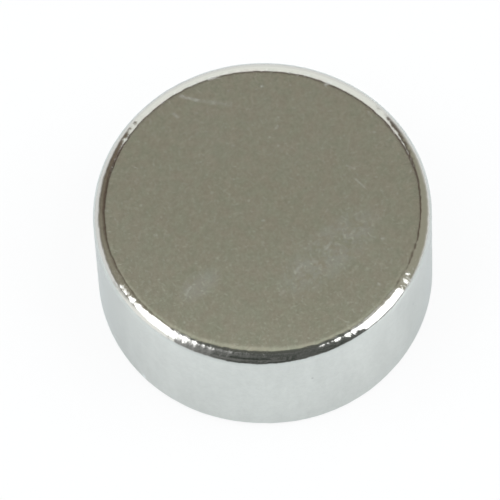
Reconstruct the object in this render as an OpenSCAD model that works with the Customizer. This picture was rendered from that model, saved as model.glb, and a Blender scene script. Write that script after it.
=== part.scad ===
// Disc magnet: a short solid cylinder with two flat pole faces and a straight rim. The real disc
// is pressed and sintered in one piece, ground to thickness, barrel tumbled and nickel plated.
//
// Tumbling leaves no sharp edge. An edge leaves its pole face on a broad shoulder arc and turns
// into the rim on a tighter corner arc. The shoulder arc is tangent to the pole face, the corner
// arc is tangent to the rim, and the two arcs are tangent to each other where they meet.
//
// Origin: the centre of the lower pole face. +Z runs along the axis of the disc.

/* [Disc] */
// Diameter across the rim
diameter = 9; // [4:0.5:30]
// Thickness from pole face to pole face
thickness = 4; // [1.5:0.5:20]

/* [Tumbled edges] */
// Radius of the broad shoulder arc beside a pole face
shoulder_radius = 0.5; // [0.4:0.05:0.8]
// Radius of the tight corner arc beside the rim
corner_radius = 0.25; // [0.1:0.05:0.35]
// Slope, in degrees from the pole face, at which the shoulder arc meets the corner arc
meeting_slope = 30; // [15:1:60]

/* [Hidden] */
nickel = [0.66, 0.65, 0.61];
// Facets of a full turn, in views
$fn = 180;
rim_radius = diameter / 2;
// Distance from the axis of the disc to the centre of the corner arc
corner_x = rim_radius - corner_radius;
// Distance between the centres of the two arcs, and its part across the disc
centre_step = shoulder_radius - corner_radius;
centre_offset = centre_step * sin(meeting_slope);
// Radius of the flat pole face, which ends over the centre of the shoulder arc
face_radius = corner_x - centre_offset;
// Depth of an edge below its pole face, which is also the depth of the corner arc's centre
edge_depth = shoulder_radius - centre_step * cos(meeting_slope);
// How far the shoulder arc runs outwards from its centre before the corner arc takes over
shoulder_run = shoulder_radius * sin(meeting_slope);

// Section of one edge, drawn from the point in the pole face's plane over the corner arc's centre
module tumbled_edge() {
    translate([0, -edge_depth]) circle(r = corner_radius);
    translate([-centre_offset, -shoulder_radius]) intersection() {
        circle(r = shoulder_radius);
        translate([-shoulder_run, 0]) square([2 * shoulder_run, shoulder_radius]);
    }
}

// Half of the disc's section: the core under the pole faces, the band behind the rim, both edges
module half_section() {
    square([face_radius, thickness]);
    translate([0, edge_depth]) square([rim_radius, thickness - 2 * edge_depth]);
    translate([corner_x, thickness]) tumbled_edge();
    translate([corner_x, 0]) mirror([0, 1]) tumbled_edge();
}

module magnet() {
    color(nickel) rotate_extrude() half_section();
}

magnet();
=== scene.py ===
"""Disc magnet: one pressed, sintered and nickel plated disc, lying on a pole face in a small white studio."""
from math import cos, exp, hypot, pi, radians, sin, tau

import bpy
from mathutils import Matrix, Vector, noise


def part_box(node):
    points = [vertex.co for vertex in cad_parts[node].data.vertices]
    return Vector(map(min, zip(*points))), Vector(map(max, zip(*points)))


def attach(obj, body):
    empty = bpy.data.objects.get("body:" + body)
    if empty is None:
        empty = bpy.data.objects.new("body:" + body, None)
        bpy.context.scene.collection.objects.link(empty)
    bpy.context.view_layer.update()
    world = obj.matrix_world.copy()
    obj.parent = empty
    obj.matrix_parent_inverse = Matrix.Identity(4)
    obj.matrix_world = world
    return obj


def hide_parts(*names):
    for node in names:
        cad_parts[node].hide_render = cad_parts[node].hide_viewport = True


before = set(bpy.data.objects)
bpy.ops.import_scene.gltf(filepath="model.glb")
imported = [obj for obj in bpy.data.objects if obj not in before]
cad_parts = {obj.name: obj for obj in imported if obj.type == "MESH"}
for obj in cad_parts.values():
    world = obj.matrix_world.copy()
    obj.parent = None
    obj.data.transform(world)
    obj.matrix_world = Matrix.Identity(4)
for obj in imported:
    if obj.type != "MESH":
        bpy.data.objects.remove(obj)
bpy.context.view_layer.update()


# ---- Camera ----
# A long lens on a tall stand looks steeply down at the disc. The disc lies a little off the
# middle of the view, and the stand leans slightly to one side.
disc_low, disc_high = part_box("magnet")
disc_middle = (disc_low + disc_high) / 2
camera_height = radians(63.46)       # angle above the bench
camera_distance = 0.2025
camera_lean = radians(2.89)
aim_right, aim_up = -0.372e-3, -0.191e-3     # where the camera aims, from the middle of the disc
to_camera = Vector((0, -cos(camera_height), sin(camera_height)))
view_right = Vector((1, 0, 0))
view_up = to_camera.cross(view_right)
lean = Matrix.Rotation(-camera_lean, 3, to_camera)
aim = disc_middle + lean @ (view_right * aim_right + view_up * aim_up)

camera_data = bpy.data.cameras.new("camera")
camera_data.sensor_width = 36
camera_data.lens = 545
camera_data.clip_start, camera_data.clip_end = 0.01, 5
camera = bpy.data.objects.new("camera", camera_data)
camera.location = disc_middle + to_camera * camera_distance
towards = camera.location - aim
towards.normalize()
across = lean @ view_right
across = (across - towards * across.dot(towards)).normalized()
camera.rotation_euler = Matrix((across, towards.cross(across), towards)).transposed().to_euler()
bpy.context.collection.objects.link(camera)
bpy.context.scene.camera = camera
bpy.context.scene.view_settings.view_transform = "Standard"


# ---- Studio ----
# A bench top of white board under a white cloth tent. The disc is a curved mirror, so it shows
# the tent all round: two soft boxes, the dark opening for the camera, and boards behind them.
class Wire:
    """The output of a shader node. A sum written with wires adds its Math nodes."""

    def __init__(self, tree, socket=None):
        self.tree, self.socket = tree, socket

    def node(self, kind, inputs, out=0, **settings):
        """
        Adds a node of this kind: its settings first, then the values or wires of its sockets.
        A colour is given as three numbers.
        """
        made = self.tree.nodes.new("ShaderNode" + kind)
        for name, value in settings.items():
            setattr(made, name, value)
        for name, value in inputs.items():
            socket = made.inputs[name]
            if isinstance(value, Wire):
                self.tree.links.new(value.socket, socket)
            elif socket.type == "RGBA":
                socket.default_value = (*value, 1)
            else:
                socket.default_value = value
        return Wire(self.tree, made.outputs[out] if len(made.outputs) else None)

    def math(self, operation, *values):
        return self.node("Math", dict(enumerate(values)), operation=operation)

    def __add__(self, other): return self.math("ADD", self, other)
    def __radd__(self, other): return self.math("ADD", other, self)
    def __sub__(self, other): return self.math("SUBTRACT", self, other)
    def __rsub__(self, other): return self.math("SUBTRACT", other, self)
    def __mul__(self, other): return self.math("MULTIPLY", self, other)
    def __rmul__(self, other): return self.math("MULTIPLY", other, self)
    def __truediv__(self, other): return self.math("DIVIDE", self, other)
    def __pow__(self, other): return self.math("POWER", self, other)
    def __abs__(self): return self.math("ABSOLUTE", self)

    def step(self, start, end):
        """Goes smoothly from 0 to 1 while this value goes from start to end."""
        return self.node("MapRange", {"Value": self, "From Min": start, "From Max": end},
                         interpolation_type="SMOOTHSTEP")

    def mix(self, first, second):
        """The first colour where this value is 0, the second where it is 1."""
        return self.node("Mix", {"Factor": self, 6: first, 7: second}, out=2, data_type="RGBA")

    def parts(self):
        """The three numbers of a vector."""
        split = self.node("SeparateXYZ", {"Vector": self}).socket.node
        return [Wire(self.tree, socket) for socket in split.outputs]


def material(name):
    """A new material and the wire that starts its nodes."""
    made = bpy.data.materials.new(name)
    made.use_nodes = True
    made.node_tree.nodes.clear()
    return made, Wire(made.node_tree)


def looked_at(start, by_camera, by_nickel):
    """
    How much of its plain white a surface shows: so much to the camera, so much to the nickel
    or through glass, and none of it to the bench.
    """
    seen, mirrored, through = [start.node("LightPath", {}, out=name) for name in
                               ("Is Camera Ray", "Is Glossy Ray", "Is Transmission Ray")]
    return seen * by_camera + mirrored * by_nickel + through * by_nickel


# The tent's own cloth looks plain white on every side, and lights the bench with less than that.
tent_light = 0.25
tent = bpy.data.worlds.new("tent")
tent.use_nodes = True
bpy.context.scene.world = tent
tent.node_tree.nodes.clear()
cloth = Wire(tent.node_tree)
glow = cloth.node("Background", {
    "Color": (1, 1, 1), "Strength": tent_light + looked_at(cloth, 1 - tent_light, 1 - tent_light)})
cloth.node("OutputWorld", {"Surface": glow})

# The bench top, a cool white board with a slight gloss. The camera sees it nearly as bright as
# the tent, with a part of its real shade left in, so that the disc keeps its soft shadow.
bench_reach = 1.2
bench_white = (0.85, 0.915, 0.94)
bench_mesh = bpy.data.meshes.new("bench")
bench_mesh.from_pydata([(x * bench_reach, y * bench_reach, disc_low.z) for x, y in
                        ((-1, -1), (1, -1), (1, 1), (-1, 1))], [], [(0, 1, 2, 3)])
bench = bpy.data.objects.new("bench", bench_mesh)
bpy.context.collection.objects.link(bench)
white_board, board = material("white_board")
shaded = board.node("BsdfPrincipled", {"Base Color": bench_white, "Roughness": 0.15, "IOR": 1.36})
plain = board.node("Emission", {"Color": (1, 1, 1), "Strength": 1.0})
board.node("OutputMaterial", {"Surface": board.node(
    "MixShader", {0: looked_at(board, by_camera=0.90, by_nickel=0.08), 1: shaded, 2: plain})})
bench_mesh.materials.append(white_board)


def direction(bearing, height):
    """Unit vector from the disc, in degrees: bearing 0 is the camera's side and grows to the right."""
    b, h = radians(bearing), radians(height)
    return Vector((sin(b) * cos(h), -cos(b) * cos(h), sin(h)))


lamp_size = 0.30
lamp_distance = 0.4


def lamp(name, bearing, height, energy):
    """A broad lamp outside the tent. It lights the bench; the nickel sees the tent in front of it."""
    bulb = bpy.data.lights.new(name, "AREA")
    bulb.size, bulb.energy = lamp_size, energy
    hung = bpy.data.objects.new(name, bulb)
    hung.location = disc_middle + lamp_distance * direction(bearing, height)
    hung.rotation_euler = direction(bearing, height).to_track_quat("Z", "Y").to_euler()
    hung.visible_camera = hung.visible_glossy = False
    bpy.context.collection.objects.link(hung)


lamp("lamp_left", -74, 60, 0.91)
lamp("lamp_right", 74, 57, 0.91)
lamp("lamp_back", 180, 60, 0.12)


def panel(name, corners, distance, paint, soft=(0.04, 0.04, 0.04, 0.04)):
    """
    A flat cloth panel of the tent, stretched between four corners. A corner is the direction
    in which it hangs, as bearing and height, at this distance or at one of its own; they go
    round from the lower left. Its paint is one colour or a function of the place across and
    up the panel, each from 0 to 1. The cloth thins out towards its left, right, lower and
    upper side over a part of its width.
    """
    steps = 24
    mesh = bpy.data.meshes.new(name)
    low_left, low_right, high_right, high_left = [
        direction(*corner[:2]) * (corner[2] if len(corner) > 2 else distance) for corner in corners]
    grid = [(column / steps, row / steps) for row in range(steps + 1) for column in range(steps + 1)]
    mesh.from_pydata(
        [disc_middle + low_left.lerp(low_right, u).lerp(high_left.lerp(high_right, u), v)
         for u, v in grid], [],
        [(n, n + 1, n + steps + 2, n + steps + 1)
         for n in range(steps * (steps + 1)) if (n + 1) % (steps + 1)])
    layer = mesh.uv_layers.new(name="panel")
    for loop in mesh.loops:
        layer.data[loop.index].uv = grid[loop.vertex_index]
    made = bpy.data.objects.new(name, mesh)
    bpy.context.collection.objects.link(made)
    finish, start = material(name)
    u, v, _ = start.node("UVMap", {}, uv_map="panel").parts()
    emission = start.node("Emission", {"Color": paint(u, v) if callable(paint) else paint})
    left, right, lower, upper = soft
    solid = u.step(0, left) * (1 - u).step(0, right) * v.step(0, lower) * (1 - v).step(0, upper)
    clear = start.node("BsdfTransparent", {})
    start.node("OutputMaterial", {"Surface": start.node("MixShader", {0: solid, 1: clear, 2: emission})})
    mesh.materials.append(finish)
    made.visible_camera = made.visible_diffuse = made.visible_shadow = False


sharp = 0.0001                       # a side of a panel that doesn't thin out

# Soft boxes, high on both sides. Each leans back over the disc.
box_light = (2.6, 2.6, 2.6)
panel("soft_box_right", [(45, 8), (77, 9), (127, 71), (61, 75)], 0.30, box_light)
panel("soft_box_left", [(-94, 45), (-50, 27), (-74, 77), (-142, 73)], 0.30, box_light)


# A pale reflector under the left soft box, brightest to the right and at its foot.
def reflector_paint(u, v):
    return (u.step(0.05, 0.35) + 0.5 * v.step(0.6, 0.1)).mix((0.60, 0.60, 0.58), (1.2, 1.2, 1.17))


panel("reflector_left", [(-90, -3), (-48, -3), (-48, 36), (-90, 42)], 0.31, reflector_paint)


# The opening for the camera, from the bench up over the top of the tent. It shows the dim
# room behind the camera, with a paler wall at its left. Low on the bench in it, a dark sheet that
# only the nickel sees is painted shade on the bench.
def dim_room(u, v):
    patches_across, patches_up = 5.5, 1.1
    spot = u.node("CombineXYZ", {0: u * patches_across, 1: v * patches_up})
    clutter = u.node("TexNoise", {"Vector": spot, "Detail": 5.0}).step(0.38, 0.66)
    room = clutter.mix((0.05, 0.06, 0.05), (0.22, 0.22, 0.215))
    wall = clutter.mix((0.32, 0.32, 0.315), (0.48, 0.48, 0.475))
    return u.step(0.40, 0.04).mix(room, wall)


# Painted shade on the bench: dark over most of the sheet, less dark at its right end.
def bench_shade_paint(u, v):
    return u.step(0.74, 0.86).mix((0.17, 0.17, 0.165), (0.30, 0.30, 0.295))


panel("opening", [(-49, -1), (52, -1), (68, 84), (-64, 84)], 0.33, dim_room, (0.04, 0.02, sharp, 0.04))
panel("front_bench_shade", [(-28, -3, 0.036), (80, -5, 0.022), (80, -0.32, 0.33), (-28, -0.32, 0.33)], None,
      bench_shade_paint, (0.2, 0.10, 0.1, sharp))
# The top of the tent is unlit.
panel("tent_top", [(135, 73), (45, 73), (-45, 73), (-135, 73)], 0.335, (0.12, 0.125, 0.11))


# A grey board high at the back, in shade along its foot and palest at the middle of its top. The
# upper pole face mirrors it. The white cloth under it gets a little more light than the rest.
def grey_paint(u, v):
    pale = v.step(0.40, 0.53) * u.step(0.15, 0.35) * (1 - u).step(0.15, 0.35)
    lit = (v - 0.12 * u.step(0.36, 0.22) - 0.03 * u.step(0.62, 0.80)).step(0.205, 0.285)
    grey = v.step(0.30, 0.42).mix((0.360, 0.348, 0.275), (0.332, 0.321, 0.250))
    return pale.mix(lit.mix((0.085, 0.050, 0.040), grey), (0.580, 0.580, 0.465))


panel("grey_board", [(210, 45), (150, 50), (145, 80), (215, 80)], 0.36, grey_paint,
      (0.02, 0.02, 0.01, 0.04))
panel("back_cloth", [(212, 4), (148, 4), (148, 56), (212, 56)], 0.37, (1.14, 1.15, 1.10),
      (0.1, 0.1, 0.45, sharp))


# Brown boards behind the soft boxes, paler towards the bench and darkest at their far ends.
def right_brown(u, v):
    far_end = (u + 0.18 * v.step(0.62, 0.85)).step(0.76, 0.92) * v.step(1.0, 0.90)
    rest = u.step(0.04, 0.22).mix((0.32, 0.31, 0.24), (0.43, 0.415, 0.33))
    return far_end.mix(rest, (0.135, 0.105, 0.082))


def left_brown(u, v):
    above_foot = v.step(0.30, 0.46)
    far_end = v.step(0.50, 0.78).mix(above_foot.mix((0.155, 0.12, 0.09), (0.225, 0.18, 0.135)),
                                     (0.10, 0.07, 0.052))
    rest = above_foot.mix((0.28, 0.255, 0.20), (0.35, 0.325, 0.255))
    return u.step(0.14, 0.56).mix(far_end, rest)


panel("brown_board_right", [(79, -10), (151, 11), (161, 64), (88, 75)], 0.355, right_brown,
      (0.03, 0.05, 0.43, 0.02))
panel("brown_board_left", [(-151, 14), (-82, 27), (-96, 76), (-168, 65)], 0.355, left_brown,
      (0.07, 0.03, 0.32, 0.02))


# ---- Disc ----
# A short solid cylinder of sintered neodymium magnet. It is pressed and ground flat, tumbled
# in a barrel until no edge is sharp, and then plated with nickel all over.
mm = 1e-3
micron = 1e-3 * mm
rim_radius = disc_high.x
thickness = disc_high.z - disc_low.z
half = thickness / 2
shoulder_radius = 0.50 * mm          # broad arc beside a pole face
corner_radius = 0.25 * mm            # tight arc beside the rim
meeting_slope = radians(30)          # where one arc turns into the other
corner_centre = rim_radius - corner_radius
face_radius = corner_centre - (shoulder_radius - corner_radius) * sin(meeting_slope)
edge_depth = shoulder_radius - (shoulder_radius - corner_radius) * cos(meeting_slope)


def edge_point(slope):
    """Radius and depth below the pole face where the tumbled edge has this slope."""
    if slope < meeting_slope:
        return face_radius + shoulder_radius * sin(slope), shoulder_radius * (1 - cos(slope))
    return corner_centre + corner_radius * sin(slope), edge_depth - corner_radius * cos(slope)


# Tumbling has rolled the pole face down by a few micrometres just inside the shoulder.
roll_slope = radians(4)
roll_width = 0.14 * mm
roll_start = edge_point(roll_slope)[0] - roll_width
roll_drop = roll_slope * roll_width / 3
shoulder_drop = roll_drop - edge_point(roll_slope)[1]

# The section, from the middle of the upper pole face to half way down the rim and then mirrored:
# radius, height above the middle of the disc, slope of the surface. It has closer rings where
# the surface bends more.
face_rings, roll_rings, edge_rings, rim_rings = 10, 6, 30, 5
face_crowding = 0.7                  # under 1, the rings of the face crowd together outwards
section = [(roll_start * (ring / face_rings) ** face_crowding, half, 0.0) for ring in range(1, face_rings)]
section += [(roll_start - inside * mm, half, 0.0) for inside in (0.07, 0.02, 0.0)]
for ring in range(1, roll_rings):
    t = ring / roll_rings
    section.append((roll_start + roll_width * t, half - roll_drop * t ** 3, roll_slope * t ** 2))
for ring in range(edge_rings):
    slope = roll_slope + (pi / 2 - roll_slope) * ring / (edge_rings - 1)
    radius, depth = edge_point(slope)
    section.append((radius, half - depth - shoulder_drop, slope))
rim_ring = len(section) - 1
rim_top = section[rim_ring][1]
for ring in range(1, rim_rings + 1):
    section.append((rim_radius, rim_top * (1 - ring / rim_rings), pi / 2))
section += [(radius, -height, pi - slope) for radius, height, slope in reversed(section[:-1])]
last_ring = len(section) - 1


def grain(spot, size, seed):
    """Smooth unevenness from -1 to 1 whose bumps are about this size."""
    return noise.noise(spot / size + Vector((seed, 3.7 * seed, 1.3 * seed)))


# Tumbling wears the edges a little unevenly. Where an edge is worn wider (+) or narrower (-)
# than elsewhere: bearing, spread, amount. Finer unevenness: amount, size in millimetres, seed.
worn_width = 0.95
wear = [(-8, 16, 0.12), (14, 9, -0.05), (30, 20, -0.12), (150, 18, 0.06), (180, 11, 0.04), (207, 20, -0.03)]
fine_wear = [(0.035, 1.6, 1), (0.035, 0.5, 2), (0.03, 0.16, 6)]


def edge_width(angle, spot):
    """How wide the edge is worn here, against the true section. The angle is from the +X axis."""
    width = worn_width
    for bearing, spread, amount in wear:
        away = (angle + pi / 2 - radians(bearing) + pi) % tau - pi
        width += amount * exp(-(away / radians(spread)) ** 2)
    for amount, size, seed in fine_wear:
        width += amount * grain(spot, size * mm, seed)
    return width


# The other discs in the barrel have dented the edges all over, and more so on the front. A row
# gives the height of the dents in micrometres, the share of it at the sides, how much that share
# grows towards the front and falls towards the back, their size in millimetres, and the seed. They
# reach full height where the surface leans this far from the pole face and from the rim. The rim
# has only low waves: height, size, seed.
dents = [(4.6, 0.62, 0.38, 0.40, 3), (2.6, 0.60, 0.50, 0.15, 4)]
dented_slope = sin(radians(9))
wave_height, wave_size, wave_seed = 0.6, 1.3, 5
face_stretch = 6                     # power of the radius: the face stretches only near its edge
upright = Vector((0, 0, 1))


def tumbled(radius, height, slope, angle):
    """Where a point of the true section ends up on the worn disc."""
    side = 1 if height >= 0 else -1
    turned = Vector((cos(angle), sin(angle), 0))
    wide = edge_width(angle, turned * rim_radius + upright * (half + side * half))
    if radius > roll_start and abs(height) >= rim_top:
        radius = rim_radius - (rim_radius - radius) * wide
        height = side * (half - (half - abs(height)) * wide)
    elif radius <= roll_start:
        radius += (rim_radius - roll_start) * (1 - wide) * (radius / roll_start) ** face_stretch
    else:
        height *= (half - (half - rim_top) * wide) / rim_top
    spot = turned * radius + upright * (half + height)
    steep = min(1, sin(slope) / dented_slope) ** 2
    level = min(1, abs(cos(slope)) / dented_slope)
    dented = sum(high * (share - change * sin(angle)) * grain(spot, size * mm, seed)
                 for high, share, change, size, seed in dents)
    waves = wave_height * grain(spot, wave_size * mm, wave_seed)
    outwards = turned * sin(slope) + upright * cos(slope)
    return spot + outwards * (steep * level * dented + (1 - level) * waves) * micron


turns = 720                          # points round each ring
vertices = [Vector((0, 0, thickness))]
for radius, height, slope in section:
    for turn in range(turns):
        vertices.append(tumbled(radius, height, slope, tau * turn / turns))
vertices.append(Vector((0, 0, 0)))
faces = [(0, 1 + turn, 1 + (turn + 1) % turns) for turn in range(turns)]
for ring in range(last_ring):
    first = 1 + ring * turns
    faces += [(first + turn, first + turns + turn,
               first + turns + (turn + 1) % turns, first + (turn + 1) % turns) for turn in range(turns)]
last = 1 + last_ring * turns
faces += [(last + turn, len(vertices) - 1, last + (turn + 1) % turns) for turn in range(turns)]
disc_mesh = bpy.data.meshes.new("magnet_disc")
disc_mesh.from_pydata([tuple(vertex) for vertex in vertices], [], faces)
disc_mesh.shade_smooth()

# The same surface laid out flat on a square sheet: each pole face with its edge as a round, and
# the rim as two strips one above the other.
round_size = 0.245                   # radius of a round
strip_start, strip_length = 0.02, 0.96
strip_pitch, strip_height = 0.24, 0.225
reach = [section[0][0]]              # length along the section, from its middle to each ring
for inner, outer in zip(section, section[1:rim_ring + 1]):
    reach.append(reach[-1] + hypot(outer[0] - inner[0], outer[1] - inner[1]))


def on_round(ring, turn, under):
    """Place on the sheet of a point on the pole side of an edge. Ring -1 is the middle."""
    away = round_size * (reach[ring] / reach[-1] if ring >= 0 else 0)
    angle = tau * turn / turns
    side = 1 if under else -1
    return 0.5 + side * (0.25 - away * cos(angle)), 0.75 + away * sin(angle)


def on_strip(ring, turn, strip):
    """Place on the sheet of a point of the rim, in the first or the second strip."""
    return (strip_start + strip_length * (2 * turn / turns - strip),
            strip_start + strip_pitch * strip + strip_height * (section[ring][1] + rim_top) / (2 * rim_top))


sheet = [on_round(*corner, False) for turn in range(turns) for corner in ((-1, 0), (0, turn), (0, turn + 1))]
for ring in range(last_ring):
    for turn in range(turns):
        for further, corner in ((0, turn), (1, turn), (1, turn + 1), (0, turn + 1)):
            here = ring + further
            if ring < rim_ring:
                sheet.append(on_round(here, corner, False))
            elif ring < last_ring - rim_ring:
                sheet.append(on_strip(here, corner, 2 * turn // turns))
            else:
                sheet.append(on_round(last_ring - here, corner, True))
sheet += [on_round(*corner, True) for turn in range(turns) for corner in ((0, turn), (-1, 0), (0, turn + 1))]
layout = disc_mesh.uv_layers.new(name="OFBake")
layout.data.foreach_set("uv", [number for corner in sheet for number in corner])
disc = bpy.data.objects.new("magnet_disc", disc_mesh)
bpy.context.collection.objects.link(disc)

# The plating, bright on the rim and the edges and satin on the ground pole faces. All lengths in
# it are in millimetres.
nickel, start = material("bright_nickel")
place = start.node("VectorMath", {0: start.node("TexCoord", {}, out="Object"), "Scale": 1 / mm},
                   operation="SCALE")
x, y, z = place.parts()
from_middle = abs(z - half / mm)
upper = z.step(1, 3)
on_face = from_middle.step(half / mm - 0.02, half / mm - 0.004)
on_rim = from_middle.step((half - 0.8 * edge_depth) / mm, (half - 1.1 * edge_depth) / mm)


def uneven(size, detail, seed, stretch=(1, 1, 1)):
    """Soft random unevenness from 0 to 1, with patches of about this size."""
    spot = start.node("VectorMath", {0: place, 1: tuple(1 / (size * s) for s in stretch)},
                      operation="MULTIPLY")
    return start.node("TexNoise", {"Vector": spot, "W": seed, "Scale": 1.0, "Detail": detail},
                      noise_dimensions="4D")


def hairlines(bearing, apart, length, seed):
    """Fine scratches that all run one way, each a short broken length."""
    share, width, fade = 0.35, 0.07, 0.08
    c, s = cos(radians(bearing)), sin(radians(bearing))
    spot = start.node("CombineXYZ", {0: (x * c + y * s) / length, 1: (y * c - x * s) / apart, 2: seed})
    line = start.node("TexNoise", {"Vector": spot, "Scale": 1.0, "Detail": 1.0})
    broken = start.node("TexNoise", {"Vector": spot, "Scale": 1.7, "Detail": 0.0})
    return abs(line - 0.5).step(width, 0) * broken.step(1 - share, 1 - share + fade)


def mark(x0, y0, x1, y1, width):
    """One straight scratch from place to place, deepest along its middle."""
    length = hypot(x1 - x0, y1 - y0)
    c, s = (x1 - x0) / length, (y1 - y0) / length
    along = (x - x0) * c + (y - y0) * s
    away = (y - y0) * c - (x - x0) * s
    beyond = along.math("MAXIMUM", along.math("MAXIMUM", -1 * along, along - length), 0)
    return ((away * away + beyond * beyond) ** 0.5).step(width, 0)


def speck(spot, width):
    """A dot around this place, fading out over its width."""
    away = start.node("VectorMath", {0: place, 1: spot}, out="Value", operation="DISTANCE")
    return away.step(width, 0.3 * width)


def scuff(x0, y0, bearing, length, width):
    """An oval patch of fine rubbing, strongest in its middle."""
    c, s = cos(radians(bearing)), sin(radians(bearing))
    along = ((x - x0) * c + (y - y0) * s) / length
    away = ((y - y0) * c - (x - x0) * s) / width
    return (1 - (along * along + away * away)).step(0, 0.9)


# Fine scratches in four directions: they are in the relief, and their pale colour is a painted glint.
scratches_and_glint = (hairlines(24, 0.16, 0.30, 3.1) + hairlines(-38, 0.15, 0.28, 7.7)
             + hairlines(81, 0.18, 0.35, 12.4) + hairlines(-72, 0.16, 0.30, 21.9))
# The scratches and nicks of the upper face that stand out, with a painted glint: strength, from, to, width.
marks_and_glint = 0.0
for strength, x0, y0, x1, y1, width in (
        (0.70, -2.02, 3.50, -1.60, 3.36, 0.095), (0.35, -1.60, 3.36, -1.15, 3.25, 0.095),
        (0.40, -1.15, 3.27, -0.70, 3.17, 0.11), (0.65, -2.22, 2.98, -2.14, 2.88, 0.08),
        (0.70, 2.53, 0.75, 2.74, 0.50, 0.055), (0.50, 2.30, 1.18, 2.52, 1.06, 0.055),
        (1.00, 0.15, 3.68, 0.17, 3.68, 0.065), (0.90, 3.13, -1.05, 3.16, -1.05, 0.065),
        (0.90, 2.97, -2.38, 2.99, -2.39, 0.07), (0.70, 0.0, -0.34, 0.03, -0.33, 0.06),
        (0.70, 0.47, 2.40, 0.50, 2.41, 0.065), (0.60, -0.71, 1.93, -0.69, 1.94, 0.065),
        (0.60, -2.88, -0.60, -2.83, -0.62, 0.06), (1.00, -1.24, 3.98, -1.08, 4.01, 0.08),
        (0.90, 1.86, 3.62, 2.00, 3.72, 0.08), (0.60, 0.80, -1.88, 0.98, -1.72, 0.07),
        (0.60, 1.62, -1.28, 1.76, -1.10, 0.07), (0.60, 0.36, -2.55, 0.48, -2.44, 0.07),
        (0.70, -2.12, -2.42, -2.02, -2.22, 0.07), (0.50, 1.28, -1.60, 1.36, -1.66, 0.07),
        (0.50, 2.30, -0.88, 2.38, -0.80, 0.07)):
    marks_and_glint = marks_and_glint + strength * mark(x0, y0, x1, y1, width)
marks_and_glint = marks_and_glint * upper
rubbed = scuff(1.70, -1.40, 42, 2.1, 0.80) + 0.9 * scuff(-1.75, -2.15, 35, 0.80, 0.42)
rubbed = upper * rubbed * (0.5 * uneven(0.35, 3.0, 9.0) + 0.5 * uneven(0.12, 2.0, 9.5)).step(0.32, 0.62)
grit = (0.6 * uneven(0.085, 2.0, 2.0) + 0.4 * uneven(0.2, 1.0, 2.2)).step(0.25, 0.75)
# Plating pimples: a dot in some of the cells of a fine net, more of them where it is rubbed. Their
# pale colour is a painted glint.
cells = start.node("TexVoronoi", {"Vector": place, "Scale": 3.2})
chance, pale, _ = Wire(cells.tree, cells.socket.node.outputs["Color"]).parts()
pimples_and_glint = cells.step(0.19, 0.05) * (chance + 0.30 * rubbed).step(0.35, 0.45) * (0.1 + 0.9 * pale)

# Relief too fine for the mesh. The edges are roughest on the front, and at a knock on the right.
facing_front = (-1 * y).step(1.5, 4.0)
facing_left = (-1 * x).step(2.0, 4.2)
knocked = speck((3.98, -1.90, 3.85), 1.7)
edge_relief = 0.0009 + 0.0026 * facing_front + 0.0012 * facing_left + 0.0026 * knocked
relief = (on_face * (0.0004 * uneven(0.16, 2.0, 2.5) - 0.0003 * scratches_and_glint)
          + (1 - on_face) * (1 - on_rim) * edge_relief * uneven(0.085, 1.0, 8.0)
          + on_rim * 0.00025 * uneven(0.30, 2.0, 8.0))
bump = start.node("Bump", {"Height": relief, "Distance": mm})

# Pole faces: a warm and a greenish nickel in soft patches, darker and paler grains of both, a
# cool tone where they are rubbed, and scratches, nicks and pimples in a pale colour that is a
# painted glint.
cloudy = uneven(1.1, 3.0, 6.0).step(0.25, 0.75)
mottled = uneven(0.40, 2.0, 5.0).step(0.30, 0.70)
face_tone = grit.mix(mottled.mix((0.580, 0.562, 0.534), (0.554, 0.574, 0.536)),
                     mottled.mix((0.680, 0.662, 0.634), (0.654, 0.674, 0.636)))
face_tone = (0.06 * cloudy + 0.42 * rubbed).mix(face_tone, (0.68, 0.715, 0.78))
# The pale colour here is a painted glint on the scratches, nicks and pimples.
face_tone = (0.5 * marks_and_glint + 0.42 * pimples_and_glint + (0.22 + 0.40 * rubbed) * scratches_and_glint).mix(
    face_tone, (0.82, 0.84, 0.87))
colour = on_face.mix((0.615, 0.618, 0.592), face_tone)
# Rim: faint streaks along the axis under the same grit, two tiny pits darkened with painted
# shade, and a white dot at its foot, the painted glint of a small nick.
streaky = uneven(0.45, 3.0, 4.0, (1, 1, 5)).step(0.25, 0.75)
colour = on_rim.mix(colour, (0.4 * streaky + 0.6 * grit).mix((0.566, 0.564, 0.537), (0.678, 0.672, 0.639)))
# Painted shade in two tiny pits.
pit_shade = speck((3.885, -2.270, 2.47), 0.05) + speck((1.104, -4.363, 2.60), 0.045)
colour = (0.7 * pit_shade).mix(colour, (0.25, 0.26, 0.26))
# Painted glint: the white dot of a small nick at the rim's foot.
colour = speck((-3.38, -2.97, 0.33), 0.09).mix(colour, (0.97, 0.98, 0.98))
roughness = (0.105 + on_face * (0.02 * cloudy + 0.05 * rubbed + 0.14 * marks_and_glint + 0.06 * pimples_and_glint)
             + on_rim * 0.055)
shell = start.node("BsdfPrincipled", {"Base Color": colour, "Metallic": 1.0, "Roughness": roughness,
                                      "Normal": bump})
start.node("OutputMaterial", {"Surface": shell})
disc_mesh.materials.append(nickel)
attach(disc, "root")
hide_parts("magnet")
